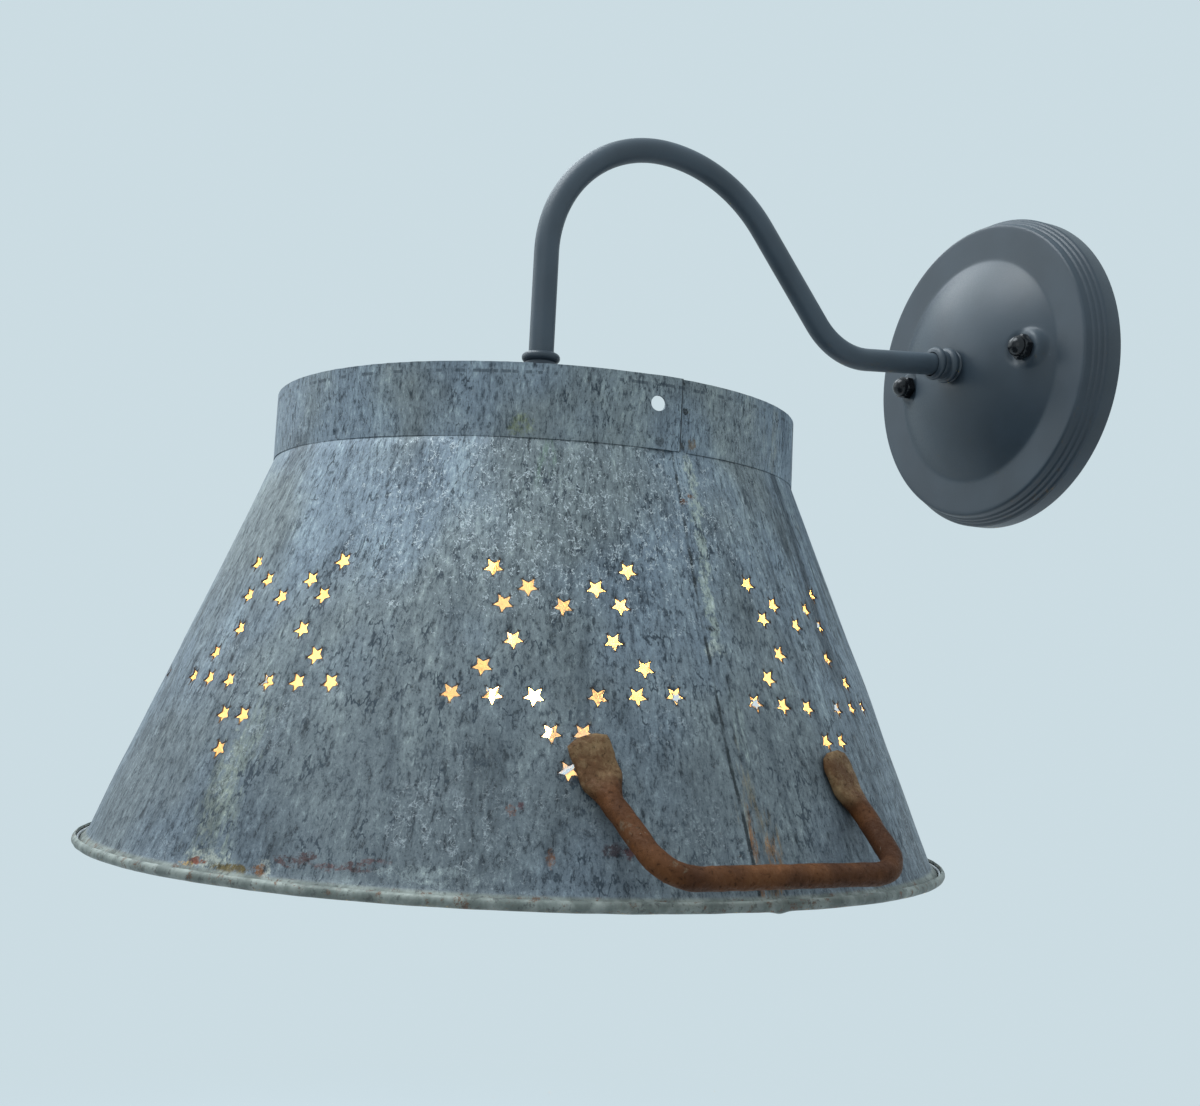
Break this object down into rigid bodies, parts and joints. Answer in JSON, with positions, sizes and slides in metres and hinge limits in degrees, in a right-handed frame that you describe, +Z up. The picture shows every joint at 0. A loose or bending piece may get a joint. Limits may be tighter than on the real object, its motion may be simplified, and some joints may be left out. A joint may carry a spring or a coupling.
{
  "type": "gooseneck wall lamp with washtub shade",
  "caption": "Wall lamp whose gooseneck arm carries an upturned galvanised washtub shade, punched with rings of small stars, with side handles.",
  "frame": {"origin": "middle of the wall plate's back, on the wall surface", "axes": "+Y into the wall, so the arm reaches towards -Y; +Z up; +X to the viewer's right facing the wall"},
  "size_m": [0.3288, 0.3836, 0.2789],
  "materials": {
    "galvanised": "weathered hot-dip galvanised sheet, mottled blue-grey with rust at the seam and rim",
    "dark_paint": "matte charcoal paint",
    "black_nickel": "glossy black plating",
    "rusted_iron": "brown rusted forged iron",
    "zinc": "bright zinc plating",
    "brass": "satin brass",
    "phenolic": "black moulded phenolic",
    "black_insulation": "black wire insulation",
    "white_insulation": "white wire insulation",
    "green_insulation": "green wire insulation",
    "green_screw": "green dyed steel",
    "wire_nut_plastic": "orange moulded plastic",
    "clear_glass": "clear blown glass",
    "filament": "glowing filament loop"
  },
  "bodies": {
    "sconce": {"shade_body": "galvanised", "rim_wire": "zinc", "shade_foot_ring": "galvanised", "shade_base": "galvanised", "handle_right": "rusted_iron", "handle_left": "rusted_iron", "handle_rivet_right_1": "rusted_iron", "handle_rivet_right_2": "rusted_iron", "handle_rivet_left_1": "rusted_iron", "handle_rivet_left_2": "rusted_iron", "cup_ferrule": "dark_paint", "holder_cup": "dark_paint", "cup_lock_nut": "zinc", "holder_cap": "brass", "lamp_holder": "phenolic", "holder_screw_shell": "brass", "holder_contact": "brass", "holder_clamp_ring": "phenolic", "arm_tube": "dark_paint", "wall_plate": "dark_paint", "plate_ferrule": "dark_paint", "plate_lock_washer": "zinc", "plate_lock_nut": "zinc", "crossbar": "zinc", "plate_stud_left": "zinc", "plate_stud_right": "zinc", "cap_nut_left": "black_nickel", "cap_nut_right": "black_nickel", "ground_screw": "green_screw", "live_lead": "black_insulation", "neutral_lead": "white_insulation", "ground_lead": "green_insulation", "wire_nut_live": "wire_nut_plastic", "wire_nut_neutral": "wire_nut_plastic"},
    "bulb": {"bulb_base": "brass", "bulb_insulator": "phenolic", "bulb_contact": "zinc", "bulb_glass": "clear_glass", "bulb_stem": "clear_glass", "bulb_filament": "filament"}
  },
  "joints": [
    {"name": "bulb_unscrew", "type": "slide", "parent": "sconce", "child": "bulb", "axis": [0, 0, -1], "range_m": [0, 0.15]}
  ]
}
